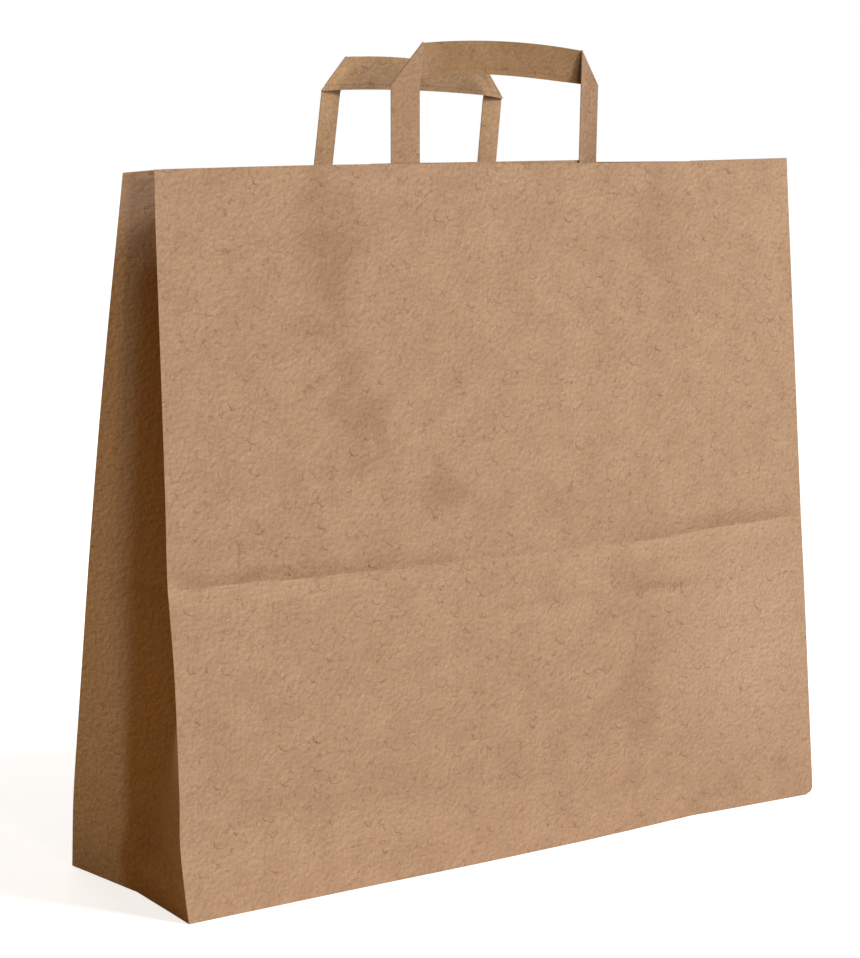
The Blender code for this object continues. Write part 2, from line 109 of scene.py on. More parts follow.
def kraft_paper(name, shade, pale, marks=(), folded=()):
    """Kraft paper in two tones, with marks as (centre, radii, strength, tone) and painted shade tones for its deep
    folds.
    """
    paper = bpy.data.materials.new(name)
    paper.use_nodes = True
    shader = paper.node_tree.nodes["Principled BSDF"]
    place = add_node(paper, "TexCoord", output="Object")

    # The felt gives the eye small soft bumps. Two looks at one grain, a little apart, give each a painted lit side
    # and a painted shaded side in the colour
    felt = {"Scale": 1 / GRAIN, "Detail": 1.0, "Roughness": 0.6}
    soft = {"Detail": 1.0, "Roughness": 0.5}
    beside = add_node(paper, "VectorMath", {0: place, 1: GRAIN_LIGHT_SHIFT}, operation="ADD")
    grain = add_node(paper, "TexNoise", {"Vector": place, **felt})
    grain_beside = add_node(paper, "TexNoise", {"Vector": beside, **felt})
    pressed = add_node(paper, "Math", {0: grain, 1: grain_beside}, operation="SUBTRACT")
    fine = add_node(paper, "TexNoise", {"Vector": place, "Scale": 1 / FINE_GRAIN, **soft})
    cloud = add_node(paper, "TexNoise", {"Vector": place, "Scale": 1 / CLOUD, "Detail": 3.0, "Roughness": 0.6})

    # Curled fibres show as short arcs: one side of a ring round the middle of some cells of a bent pattern
    drift = add_node(paper, "TexNoise", {"Vector": place, "Scale": 1 / FIBRE_DRIFT, **soft}, "Color")
    bend = add_node(paper, "VectorMath", {0: drift, "Scale": FIBRE_BEND}, operation="SCALE")
    bent_place = add_node(paper, "VectorMath", {0: place, 1: bend}, operation="ADD")
    from_middle = add_node(paper, "TexVoronoi", {"Vector": bent_place, "Scale": 1 / CURL_SPACING})
    middle, cell_colour = (from_middle.node.outputs[given] for given in ("Position", "Color"))
    off_ring = add_node(paper, "Math", {0: from_middle, 1: CURL_RADIUS}, operation="SUBTRACT")
    off_ring = add_node(paper, "Math", {0: off_ring}, operation="ABSOLUTE")
    ring = add_node(paper, "MapRange", {0: off_ring, 1: 0.010, 2: 0.050, 3: 1.0, 4: 0.0}, **SMOOTH)
    outwards = add_node(paper, "VectorMath", {0: bent_place, 1: middle}, operation="SUBTRACT")
    side = add_node(paper, "VectorMath", {0: outwards, 1: CURL_SIDE}, "Value", operation="DOT_PRODUCT")
    arc = add_node(paper, "MapRange", {0: side, 1: 0.0010, 2: 0.0026}, **SMOOTH)
    chance = add_node(paper, "SeparateColor", {0: cell_colour})
    chosen = add_node(paper, "MapRange", {0: chance, 1: 0.35, 2: 0.95}, **SMOOTH)
    curls = add_node(paper, "Math", {0: ring, 1: arc}, operation="MULTIPLY")
    curls = add_node(paper, "Math", {0: curls, 1: chosen}, operation="MULTIPLY")

    # Straighter fibres are the borders of a finer pattern, where there are any
    web = {"Vector": bent_place, "Scale": 1 / FIBRE_SPACING}
    from_border = add_node(paper, "TexVoronoi", web, feature="DISTANCE_TO_EDGE")
    strand = add_node(paper, "MapRange", {0: from_border, 1: 0.015, 2: 0.055, 3: 1.0, 4: 0.0}, **SMOOTH)
    patchy = add_node(paper, "TexNoise", {"Vector": place, "Scale": 1 / FIBRE_PATCH, **soft})
    patchy = add_node(paper, "MapRange", {0: patchy, 1: 0.52, 2: 0.66}, **SMOOTH)
    fibres = add_node(paper, "Math", {0: strand, 1: patchy}, operation="MULTIPLY")
    fibres = add_node(paper, "Math", {0: fibres, 1: 0.75}, operation="MULTIPLY")
    lines = add_node(paper, "Math", {0: curls, 1: fibres}, operation="MAXIMUM")

    # Specks of darker pulp are dots in some cells of a wide pattern
    from_speck = add_node(paper, "TexVoronoi", {"Vector": bent_place, "Scale": 1 / SPECK_SPACING})
    speck = add_node(paper, "MapRange", {0: from_speck, 1: 0.018, 2: 0.040, 3: 1.0, 4: 0.0}, **SMOOTH)
    chance = add_node(paper, "SeparateColor", {0: from_speck.node.outputs["Color"]}, 1)
    chosen = add_node(paper, "MapRange", {0: chance, 1: 0.60, 2: 0.80}, **SMOOTH)
    specks = add_node(paper, "Math", {0: speck, 1: chosen}, operation="MULTIPLY")

    # The colour is cloudy, has the marks and the painted fold shade in it, then the felt's painted light and shade,
    # fibres and specks
    share = add_node(paper, "MapRange", {0: cloud, 1: 0.30, 2: 0.70}, **SMOOTH)
    colour = add_node(paper, "Mix", {0: share, 6: linear(shade), 7: linear(pale)}, **MIXED)
    wander = add_node(paper, "MapRange", {0: cloud, 1: 0.25, 2: 0.75, 3: -0.12, 4: 0.22}, **SMOOTH)
    for centre, radii, strength, tone in marks:
        offset = add_node(paper, "VectorMath", {0: place, 1: centre}, operation="SUBTRACT")
        offset = add_node(paper, "VectorMath", {0: offset, 1: radii}, operation="DIVIDE")
        distance = add_node(paper, "VectorMath", {0: offset}, "Value", operation="LENGTH")
        distance = add_node(paper, "Math", {0: distance, 1: wander}, operation="ADD")
        mark = add_node(paper, "MapRange", {0: distance, 1: 0.10, 2: 1.05, 3: strength, 4: 0.0}, **SMOOTH)
        colour = add_node(paper, "Mix", {0: mark, 6: colour, 7: linear(tone)}, **MIXED)
    contrast = GRAIN_CONTRAST
    if folded:
        # Painted shade: towards a gusset's fold the colour turns a darker brown, and the grain's painted light and
        # shade grows stronger
        depth = add_node(paper, "Attribute", output="Fac", attribute_name="painted_fold_shade")
        for start, end, strength, tone in folded:
            share = add_node(paper, "MapRange", {0: depth, 1: start, 2: end, 4: strength}, **SMOOTH)
            colour = add_node(paper, "Mix", {0: share, 6: colour, 7: linear(tone)}, **MIXED)
        deeper = {0: depth, 2: 0.5, 3: GRAIN_CONTRAST, 4: FOLD_GRAIN_CONTRAST}
        contrast = add_node(paper, "MapRange", deeper, **SMOOTH)
    # Painted light and shade: the grain's lit and shaded sides brighten and darken the colour
    painted_relief = add_node(paper, "Math", {0: pressed, 1: contrast}, operation="MULTIPLY")
    painted_relief = add_node(paper, "Math", {0: painted_relief, 1: 1.0}, operation="ADD")
    colour = add_node(paper, "VectorMath", {0: colour, "Scale": painted_relief}, operation="SCALE")
    for shape, strength, tone in ((lines, 0.52, FIBRE_TONE), (specks, 0.55, SPECK_TONE)):
        share = add_node(paper, "Math", {0: shape, 1: strength}, operation="MULTIPLY")
        colour = add_node(paper, "Mix", {0: share, 6: colour, 7: linear(tone)}, **MIXED)
    paper.node_tree.links.new(shader.inputs["Base Color"], colour)
    shader.inputs["Roughness"].default_value = 0.88
    shader.inputs["IOR"].default_value = 1.5
    shader.inputs["Specular IOR Level"].default_value = 0.35

    # The bump is the felt with a little finer grain on it, and the fibres lie pressed into it
    height = add_node(paper, "Math", {0: fine, 1: 0.10}, operation="MULTIPLY")
    height = add_node(paper, "Math", {0: grain, 1: height}, operation="ADD")
    pressed_in = add_node(paper, "Math", {0: lines, 1: 0.55}, operation="MULTIPLY")
    height = add_node(paper, "Math", {0: height, 1: pressed_in}, operation="SUBTRACT")
    bump = add_node(paper, "Bump", {"Height": height, "Strength": 1.0, "Distance": GRAIN_HEIGHT})
    paper.node_tree.links.new(shader.inputs["Normal"], bump)
    return paper


# Bag body
# One sheet of kraft paper folded and glued into a tube, with a V gusset at each side. It was stored flat with
# the bottom folded up, so a crease runs round it at two fifths of its height. It stands open a little askew.
BAG_WIDTH = 0.540
BAG_DEPTH = 0.150
FRONT_RIM_HEIGHT = 0.4725
BACK_RIM_HEIGHT = 0.4695
RIM_WAVE = 0.0011
PAPER = 0.00018
BASE_TUCK = 0.0065
BASE_FOLD_HEIGHT = 0.032
WORN_CORNER = 0.0065
HALF_WIDTH = BAG_WIDTH / 2
HALF_DEPTH = BAG_DEPTH / 2

# How far each panel's edges have come in sideways at the rim
FRONT_LEFT_IN = 0.0065
FRONT_RIGHT_IN = 0.0008
BACK_IN = 0.0080

# Knots are (height, how far the edge has come in from the base line) and (height, how far a panel bows out)
FRONT_LEFT_LEAN = (
    (0.0, 0.0), (0.018, 0.0050), (0.050, 0.0112), (0.075, 0.0114), (0.156, 0.0175), (0.195, 0.0232),
    (0.219, 0.0264), (0.263, 0.0282), (0.358, 0.0340), (0.439, 0.0392), (0.4725, 0.0402),
)
FRONT_RIGHT_LEAN = (
    (0.0, 0.0), (0.063, 0.0055), (0.153, 0.0133), (0.208, 0.0185), (0.331, 0.0292), (0.4725, 0.0415),
)
BACK_LEFT_LEAN = (
    (0.0, -0.0065), (0.046, -0.0045), (0.089, 0.0010), (0.131, 0.0070), (0.214, 0.0190), (0.295, 0.0320),
    (0.375, 0.0470), (0.4725, 0.0670),
)
BACK_RIGHT_LEAN = (
    (0.0, 0.0), (0.050, 0.0005), (0.131, 0.0075), (0.214, 0.0190), (0.295, 0.0320), (0.375, 0.0470),
    (0.4725, 0.0670),
)
FRONT_BOW = ((0.0, 0.0), (0.050, 0.0020), (0.208, 0.0080), (0.340, 0.0070), (0.4725, 0.0055))
BACK_BOW = ((0.0, 0.0), (0.050, 0.0010), (0.208, 0.0165), (0.340, 0.0420), (0.4725, 0.0655))


def through(knots, place):
    """The value of a smooth line through knots, level before the first and after the last."""
    if place <= knots[0][0]:
        return knots[0][1]
    if place >= knots[-1][0]:
        return knots[-1][1]
    index = max(number for number, knot in enumerate(knots[:-1]) if knot[0] <= place)
    start, end = knots[index], knots[index + 1]
    before = knots[max(index - 1, 0)]
    after = knots[min(index + 2, len(knots) - 1)]
    span = end[0] - start[0]
    leaving = span * (end[1] - before[1]) / (end[0] - before[0])
    arriving = span * (after[1] - start[1]) / (after[0] - start[0])
    t = (place - start[0]) / span
    rise = t * t * (3 - 2 * t)
    return start[1] + rise * (end[1] - start[1]) + t * (1 - t) ** 2 * leaving - t * t * (1 - t) * arriving


def arch(share):
    """0 at both ends of a span and 1 in its middle."""
    return 4 * share * (1 - share)


def valley(distance, reach, sharpness=1.5):
    """A crease's depth, 1 on its line and 0 beyond its reach."""
    return max(0.0, 1.0 - abs(distance) / reach) ** sharpness


# The storage crease wanders a little, is pressed hard near both edges and has sprung back in the middle. Knots
# are (x, height) and (x, depth).
CREASE_HEIGHT = 0.208
CREASE_REACH = 0.0135
CREASE_WANDER = 0.0012
BACK_CREASE_SHARE = 1.2
CREASE_HEIGHTS = (
    (-0.27, 0.2084), (-0.21, 0.2086), (-0.165, 0.2074), (-0.10, 0.2071), (0.05, 0.2061), (0.13, 0.2052),
    (0.18, 0.2072), (0.27, 0.2090),
)
CREASE_DEPTHS = (
    (-0.2665, 0.0002), (-0.258, 0.0024), (-0.25, 0.0032), (-0.15, 0.0036), (-0.09, 0.0028), (-0.03, 0.0014),
    (0.08, 0.0013), (0.135, 0.0034), (0.25, 0.0036), (0.258, 0.0026), (0.2665, 0.0002),
)
SECOND_CREASE_HEIGHT = 0.1690
SECOND_CREASE_REACH = 0.009
SECOND_CREASE_WANDER = 0.0006
SECOND_CREASE_DEPTHS = (
    (-0.04, 0.0), (-0.01, 0.0014), (0.08, 0.0014), (0.12, 0.0031), (0.155, 0.0024), (0.18, 0.0),
)

# The sheet's waves are a long one and a short one, with their height and their length in x and z
LONG_WAVE = (0.0009, 0.11, 0.13)
SHORT_WAVE = (0.00022, 0.035, 0.05)

# The front panel is pushed in at its lower edge, right of the middle
DENT_DEPTH = 0.0065
DENT_X = 0.155
DENT_REACH = 0.110
DENT_TOP = 0.070


def crease_shift(x, z):
    """How far the storage crease pushes a wall back at a place."""
    line = through(CREASE_HEIGHTS, x) + CREASE_WANDER * noise.noise(Vector((x / 0.021, 3.1, 0.0)))
    return through(CREASE_DEPTHS, x) * valley(z - line, CREASE_REACH, 1.9)


def second_crease_shift(x, z):
    """A fainter crease below the first, broken into short stretches."""
    line = SECOND_CREASE_HEIGHT + SECOND_CREASE_WANDER * noise.noise(Vector((x / 0.02, 7.7, 0.0)))
    broken = 0.80 + 0.4 * noise.noise(Vector((x / 0.014, 1.7, 0.0)))
    return through(SECOND_CREASE_DEPTHS, x) * broken * valley(z - line, SECOND_CREASE_REACH)


def buckle(x, z, layer):
    """The gentle waves of a sheet that was folded and opened again."""
    long_height, long_x, long_z = LONG_WAVE
    short_height, short_x, short_z = SHORT_WAVE
    wide = noise.noise(Vector((x / long_x, layer, z / long_z)))
    narrow = noise.noise(Vector((x / short_x, layer + 5.0, z / short_z)))
    return long_height * wide + short_height * narrow


def right_edge(z):
    """The front panel's right edge, which is worn round where it meets the base."""
    cut = max(0.0, WORN_CORNER - z)
    worn = HALF_WIDTH - WORN_CORNER + sqrt(WORN_CORNER**2 - cut**2)
    return worn - FRONT_RIGHT_IN * z / FRONT_RIM_HEIGHT


def front_panel(share, z):
    """A point of the front panel, share running from 0 at its left edge to 1 at its right."""
    left = -HALF_WIDTH + FRONT_LEFT_IN * z / FRONT_RIM_HEIGHT
    x = left + share * (right_edge(z) - left)
    lean_left = through(FRONT_LEFT_LEAN, z)
    lean_right = through(FRONT_RIGHT_LEAN, z)
    y = -HALF_DEPTH + lean_left + share * (lean_right - lean_left)
    y -= through(FRONT_BOW, z) * arch(share)
    y += crease_shift(x, z) + second_crease_shift(x, z)
    y += buckle(x, z, 0.0) * arch(share) ** 0.5
    y += DENT_DEPTH * valley(x - DENT_X, DENT_REACH, 1.2) * valley(z, DENT_TOP, 1.6)
    return Vector((x, y, z))


def back_panel(share, z):
    """A point of the back panel, share running from 0 at its left edge to 1 at its right."""
    reach = HALF_WIDTH - BACK_IN * z / FRONT_RIM_HEIGHT
    x = reach * (2 * share - 1)
    lean_left = through(BACK_LEFT_LEAN, z)
    lean_right = through(BACK_RIGHT_LEAN, z)
    y = HALF_DEPTH - lean_left - share * (lean_right - lean_left)
    y += through(BACK_BOW, z) * arch(share) + BACK_CREASE_SHARE * crease_shift(x, z)
    y += buckle(x, z, 20.0) * arch(share) ** 0.5
    return Vector((x, y, z))


def panel_y(panel, x, z):
    """The panel's y at a given x, found from its two edges."""
    left = panel(0.0, z).x
    right = panel(1.0, z).x
    return panel((x - left) / (right - left), z).y


def gusset_fold(front_edge, back_edge):
    """The middle fold of a gusset: each half keeps its width, so the fold goes in as the edges close."""
    half_gusset = sqrt(HALF_DEPTH**2 + BASE_TUCK**2)
    middle = (front_edge + back_edge) / 2
    half_mouth = (back_edge - front_edge).length / 2
    tuck = sqrt(max(half_gusset**2 - half_mouth**2, BASE_TUCK**2))
    ramp = min(middle.z / BASE_FOLD_HEIGHT, 1.0)
    tuck = BASE_TUCK + (tuck - BASE_TUCK) * ramp * ramp * (3 - 2 * ramp)
    inward = -1 if middle.x > 0 else 1
    return middle + Vector((inward * tuck, 0, 0))


# The wall's rows lie close together at the worn base and at the creases, as (up to this height, step)
ROW_STEPS = ((0.010, 0.002), (0.160, 0.005), (0.190, 0.0025), (0.224, 0.00125), (FRONT_RIM_HEIGHT, 0.0055))


def wall_heights():
    """Heights of the wall's rows, from the base to the rim."""
    heights = [0.0]
    for top, step in ROW_STEPS:
        count = round((top - heights[-1]) / step)
        start = heights[-1]
        heights += [start + (top - start) * number / count for number in range(1, count + 1)]
    return heights


def stretched(z, rim):
    """A row's height where the rim is higher or lower: the part above the crease takes it up."""
    if z <= CREASE_HEIGHT:
        return z
    return CREASE_HEIGHT + (z - CREASE_HEIGHT) * (rim - CREASE_HEIGHT) / (FRONT_RIM_HEIGHT - CREASE_HEIGHT)


def front_face(share, z):
    """A point of the front panel at a row's height, under a rim that waves a little."""
    return front_panel(share, stretched(z, FRONT_RIM_HEIGHT - RIM_WAVE * sin(2 * pi * (share - 0.5))))


def back_face(share, z):
    """A point of the back panel at a row's height, under its lower rim."""
    return back_panel(share, stretched(z, BACK_RIM_HEIGHT))


# The gussets bulge a little and carry the storage crease faintly, lower towards their fold. The left one's rim
# lifts at the back, from this share of the height on.
GUSSET_BULGE = 0.0010
GUSSET_CREASE = 0.0026
GUSSET_CREASE_SHARE = 0.7
GUSSET_CREASE_HEIGHT = 0.2075
GUSSET_CREASE_FALL = 0.015
GUSSET_CREASE_REACH = 0.012
GUSSET_RIM_LIFT = 0.0015
GUSSET_LIFT_FROM = 0.85

# Painted shade: how far in from the back panel's edge the gusset's painted shade turns darker, as (height, share
# of the half), over how wide a share, how low down the front half does, and how far up both do. The right gusset
# has a fifth of the painted shade.
DARK_FROM = (
    (0.0, 0.82), (0.036, 0.68), (0.084, 0.55), (0.135, 0.475), (0.204, 0.375), (0.303, 0.30), (0.405, 0.21),
    (0.4725, 0.22),
)
DARK_BLEND = 0.26
FRONT_DARK_TOP = 0.15
FRONT_DARK_BLEND = 0.10
PAINTED_SHADE_TOP = 0.460
PAINTED_SHADE_TOP_BLEND = 0.060
RIGHT_GUSSET_SHADE_SHARE = 0.2


def gusset_face(end, half, share, z):
    """A point of one half of a gusset, share running from its panel's edge to the middle fold."""
    front_edge = front_face(end, z)
    back_edge = back_face(end, z)
    fold = gusset_fold(front_edge, back_edge)
    edge = front_edge if half == "front" else back_edge
    point = edge.lerp(fold, share)
    if half == "back" and end == 0:
        near_rim = max(z / FRONT_RIM_HEIGHT - GUSSET_LIFT_FROM, 0.0) / (1 - GUSSET_LIFT_FROM)
        point.z += GUSSET_RIM_LIFT * min(share / 0.35, (1 - share) / 0.3, 1.0) * near_rim
    outward = -1 if end == 0 else 1
    behind = 1 if half == "back" else -1
    bulge = GUSSET_BULGE * arch(share) * noise.noise(Vector((share * 1.3, 40.0 + end, z / 0.10)))
    past_crease = z - GUSSET_CREASE_HEIGHT + GUSSET_CREASE_FALL * share
    crease = GUSSET_CREASE * min(max(share * 3 - 0.7, 0.0), 1.0) * valley(past_crease, GUSSET_CREASE_REACH)
    crease *= GUSSET_CREASE_SHARE
    return point + Vector((outward * (bulge - crease), behind * crease * (1 - share), 0))


def gusset_painted_shade(end, half, share, z):
    """How much painted shade a gusset has at a place: none at the rim, half near the panels, all deep in the left
    fold.
    """
    inner = (share - through(DARK_FROM, z)) / DARK_BLEND + 0.5
    if half == "front":
        inner = max(inner, (FRONT_DARK_TOP - z) / FRONT_DARK_BLEND)
    inner = min(max(inner, 0.0), 1.0)
    tone = 0.5 + 0.5 * inner * inner * (3 - 2 * inner)
    below_rim = min(max((PAINTED_SHADE_TOP - z) / PAINTED_SHADE_TOP_BLEND, 0.0), 1.0)
    return tone * below_rim * (RIGHT_GUSSET_SHADE_SHARE if end == 1 else 1.0)


def placed_grid(sheet, columns, rows, place, layer=None, painted_shade_at=None):
    """A flat grid of paper whose points are moved to where place(share across, row) says.

    A tone, here the gussets' painted shade, is kept at the corners of faces, not at the points, so it ends exactly at
    a fold.
    """
    made = bmesh.ops.create_grid(sheet, x_segments=columns, y_segments=rows, size=0.5)
    for vertex in made["verts"]:
        share = round((vertex.co.x + 0.5) * columns) / columns
        row = round((vertex.co.y + 0.5) * rows)
        vertex.co = place(share, row)
        if layer:
            for loop in vertex.link_loops:
                loop[layer] = painted_shade_at(share, row)


def finished_sheet(name, sheet, thickness, sharp, second_side=0):
    """Makes an object of a sheet: thick to both sides, smooth, and sharp where it folds by that many degrees."""
    mesh = bpy.data.meshes.new(name)
    sheet.to_mesh(mesh)
    sheet.free()
    piece = bpy.data.objects.new(name, mesh)
    bpy.context.scene.collection.objects.link(piece)
    thicken = piece.modifiers.new("Paper", "SOLIDIFY")
    thicken.thickness = thickness
    thicken.offset = 0.0
    thicken.use_even_offset = True
    thicken.use_quality_normals = True
    thicken.material_offset = second_side
    for _ in range(1 + second_side):
        mesh.materials.append(None)
    graph = bpy.context.evaluated_depsgraph_get()
    solid = bpy.data.meshes.new_from_object(piece.evaluated_get(graph))
    piece.modifiers.clear()
    piece.data = solid
    bpy.data.meshes.remove(mesh)
    solid.name = name
    solid.shade_smooth()
    solid.set_sharp_from_angle(angle=radians(sharp))
    return piece


def in_use(piece, papers, slot, *nodes):
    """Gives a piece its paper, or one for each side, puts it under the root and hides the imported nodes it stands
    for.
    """
    for index, paper in enumerate(papers):
        piece.data.materials[index] = paper
    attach(piece, "root")
    if nodes:
        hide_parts(*nodes)


FRONT_COLUMNS = 110
BACK_COLUMNS = 90
GUSSET_COLUMNS = 14
SAME_POINT = 0.00001
heights = wall_heights()
rows = len(heights) - 1
body_sheet = bmesh.new()
# The gussets' painted shade, darker towards their folds, is kept in a layer of its own
painted_fold_shade = body_sheet.loops.layers.float.new("painted_fold_shade")
placed_grid(body_sheet, FRONT_COLUMNS, rows, lambda share, row: front_face(share, heights[row]))
placed_grid(body_sheet, BACK_COLUMNS, rows, lambda share, row: back_face(share, heights[row]))
for end in (0, 1):
    for half in ("front", "back"):
        placed_grid(
            body_sheet, GUSSET_COLUMNS, rows,
            lambda share, row: gusset_face(end, half, share, heights[row]),
            painted_fold_shade,
            lambda share, row: gusset_painted_shade(end, half, share, heights[row]),
        )
bmesh.ops.remove_doubles(body_sheet, verts=body_sheet.verts, dist=SAME_POINT)
bmesh.ops.recalc_face_normals(body_sheet, faces=body_sheet.faces)
body = finished_sheet("bag_walls", body_sheet, PAPER, 24)

# The sheet has darker soft marks, two thin darker bands just above the crease, which are painted shade, a paler
# mark low on the right and two large specks. They are soft spots with a middle, a reach in x, y and z, a strength
# and a tone.
MARK_AND_SHADE_TONE = "8A6647"
MARKS_AND_CREASE_SHADE = (
    ((-0.139, -0.048, 0.415), (0.034, 0.05, 0.085), 0.34, MARK_AND_SHADE_TONE),
    ((-0.124, -0.055, 0.310), (0.034, 0.05, 0.055), 0.28, MARK_AND_SHADE_TONE),
    ((-0.060, -0.060, 0.256), (0.042, 0.05, 0.024), 0.24, MARK_AND_SHADE_TONE),
    ((0.140, -0.045, 0.420), (0.050, 0.05, 0.080), 0.13, MARK_AND_SHADE_TONE),
    ((0.100, -0.075, 0.110), (0.036, 0.05, 0.100), 0.17, MARK_AND_SHADE_TONE),
    ((0.189, -0.075, 0.025), (0.012, 0.05, 0.022), 0.16, MARK_AND_SHADE_TONE),
    ((0.239, -0.075, 0.025), (0.012, 0.05, 0.022), 0.16, MARK_AND_SHADE_TONE),
    # Painted shade: two thin darker bands just above the storage crease
    ((0.185, -0.055, 0.2155), (0.085, 0.05, 0.0060), 0.12, MARK_AND_SHADE_TONE),
    ((-0.200, -0.050, 0.2155), (0.080, 0.05, 0.0060), 0.12, MARK_AND_SHADE_TONE),
    ((0.215, -0.065, 0.120), (0.105, 0.05, 0.120), 0.26, "D2B29A"),
    ((-0.1670, -0.06, 0.1010), (0.0013, 0.02, 0.0024), 0.95, SPECK_TONE),
    ((-0.1440, -0.06, 0.1000), (0.0016, 0.02, 0.0018), 0.95, SPECK_TONE),
)

# In the photograph the left gusset is a deeper golden brown than shading makes it, so painted shade darkens it
# in two steps, deepest towards its fold, as (from this tone, to this tone, strength, colour)
FOLD_PAINTED_SHADES = ((0.0, 0.5, 0.65, "A57B49"), (0.5, 1.0, 0.86, "905A14"))
kraft = kraft_paper("brown_recycled_kraft_paper", "B39073", "BB987B", MARKS_AND_CREASE_SHADE, FOLD_PAINTED_SHADES)
in_use(body, [kraft], "kraft_paper", "bag_body")

# Block bottom
# The walls' lower ends folded in and glued: an ear at each end, then the front flap over them and the back
# flap over that, so the outermost layer is the one the bag stands on.
FLAP_OVERLAP = 0.020
FLAP_INSET = 0.0002
EAR_DEPTH = 0.095
EAR_INSET = 0.0004
LAYER = 0.00015


def flap(name, outline, level):
    """A flat flap with a given outline, one layer of paper thick."""
    sheet = bmesh.new()
    sheet.faces.new([sheet.verts.new((x, y, (level + 0.5) * LAYER)) for x, y in outline])
    bmesh.ops.recalc_face_normals(sheet, faces=sheet.faces)
    bmesh.ops.triangulate(sheet, faces=sheet.faces)
    piece = finished_sheet(name, sheet, LAYER * 0.9, 30)
    in_use(piece, [kraft], "kraft_paper", "bag_body")


def bottom_edge(panel, side):
    """The lower edge of a panel, from left to right, just inside its fold."""
    points = [panel(number / 40, 0.0) for number in range(41)]
    return [(point.x, point.y - side * FLAP_INSET) for point in points]


flap_depth = HALF_DEPTH + FLAP_OVERLAP
for level, (name, panel, side) in enumerate((("back_flap", back_panel, 1), ("front_flap", front_panel, -1))):
    edge = bottom_edge(panel, side)
    free_y = side * (HALF_DEPTH - flap_depth)
    flap(name, edge + [(edge[-1][0] - flap_depth, free_y), (edge[0][0] + flap_depth, free_y)], level)
for name, end in (("left_ear", 0), ("right_ear", 1)):
    shares = [abs(end - EAR_DEPTH / BAG_WIDTH * number / 10) for number in range(11)]
    front_side = [front_panel(share, 0.0) + Vector((0, EAR_INSET, 0)) for share in shares]
    back_side = [back_panel(share, 0.0) - Vector((0, EAR_INSET, 0)) for share in shares]
    fold = gusset_fold(front_side[0], back_side[0])
    flap(name, [(point.x, point.y) for point in front_side[::-1] + [fold] + back_side], 2)

# Glued lap
# Where the sheet's two long edges were glued to make the tube, a second layer 18 mm wide lies on the outside
# of the back panel, close to one edge, and stands one paper thickness proud.
LAP_WIDTH = 0.018
LAP_FROM_EDGE = 0.012
LAP_PROUD = PAPER * 1.15
lap_sheet = bmesh.new()


def lap_place(share, row):
    """A point of the lap, share running from its outer edge inwards."""
    across = 1 - (LAP_FROM_EDGE + LAP_WIDTH * share) / BAG_WIDTH
    return back_face(across, heights[row]) + Vector((0, LAP_PROUD, 0))


placed_grid(lap_sheet, 4, rows, lap_place)
lap = finished_sheet("tube_lap", lap_sheet, PAPER, 30)
in_use(lap, [kraft], "kraft_paper")

# Handles
# Each is one length of kraft paper folded into a flat tape 24 mm wide, with its free edge glued down as a lap
# a few millimetres from the tape's edge. It goes up a leg, over a slanted fold, along as the grip, and down.
TAPE_WIDTH = 0.024
TAPE_THICKNESS = 0.00055
FOLD_RADIUS = 0.0006
GLUE = 0.0003
TAIL_LENGTH = 0.040
TWIST_REACH = 0.030
SWELL_REACH = 0.006
STRIP_SWAY = 0.0004

# A value in brackets is the left leg's, then the right leg's. A leg stands "shift" and half the "spacing" off
# the bag's middle, is turned by "twist" degrees and goes "rise" up to a slanted fold, which is "fold_rise" high
# and ends "fold_reach" further along. It leans along the bag and in. The strip stands "fold_opening" off the
# folds, its upper edge "swell" further, and its edges rise by the two arches, the lower one askew by "skew".
FRONT_HANDLE = {
    "spacing": 0.158,
    "shift": 0.0025,
    "twist": (3.0, 22.0),
    "rise": (0.0510, 0.0515),
    "fold_rise": (0.0288, 0.0240),
    "fold_reach": (0.0036, 0.0),
    "lean_across": (0.0, 0.0012),
    "fold_opening": (0.0005, 0.0060),
    "swell": 0.0,
    "arch_low": 0.0077,
    "arch_high": 0.0036,
    "skew": 0.55,
    "lean_in": 0.0,
}
BACK_HANDLE = {
    "spacing": 0.141,
    "shift": -0.0050,
    "twist": (25.0, 20.0),
    "rise": (0.0512, 0.0467),
    "fold_rise": (0.0232, 0.0180),
    "fold_reach": (0.0022, 0.0014),
    "lean_across": (0.0038, 0.0020),
    "fold_opening": (0.0030, 0.0030),
    "swell": 0.0028,
    "arch_low": 0.0030,
    "arch_high": 0.0040,
    "skew": 0.0,
    "lean_in": 0.0045,
}


def evenly(start, end, count):
    """Values from start to end in even steps, both ends among them."""
    return [start + (end - start) * step / count for step in range(count + 1)]


def turned_share(height):
    """A leg's turn grows smoothly from nothing, low under the patch, to all of it at the rim."""
    share = min(max(1 + height / TWIST_REACH, 0.0), 1.0)
    return share * share * (3 - 2 * share)


def leg_edges(handle, leg, panel, inward, rim, height):
    """The left and right edge of a leg at a height above the rim: one edge stays by the panel."""
    turned = turned_share(height)
    angle = radians(handle["twist"][leg]) * turned
    offset = PAPER / 2 + GLUE + TAPE_THICKNESS / 2
    centre = handle["shift"] + (leg - 0.5) * handle["spacing"]
    pivot_x = centre - inward * TAPE_WIDTH / 2
    free_x = pivot_x + inward * TAPE_WIDTH * cos(angle)
    on_panel = rim + min(height, 0.0)
    pivot_y = panel_y(panel, pivot_x, on_panel) + inward * offset
    flat_y = panel_y(panel, free_x, on_panel) + inward * offset
    free_y = flat_y + turned * (pivot_y - flat_y) + inward * TAPE_WIDTH * sin(angle)
    up = max(height, 0.0) / handle["rise"][0]
    lean = Vector((handle["lean_across"][leg] * up, inward * handle["lean_in"] * up, 0))
    pivot = Vector((pivot_x, pivot_y, rim + height)) + lean
    free = Vector((free_x, free_y, rim + height)) + lean
    return (pivot, free) if inward > 0 else (free, pivot)


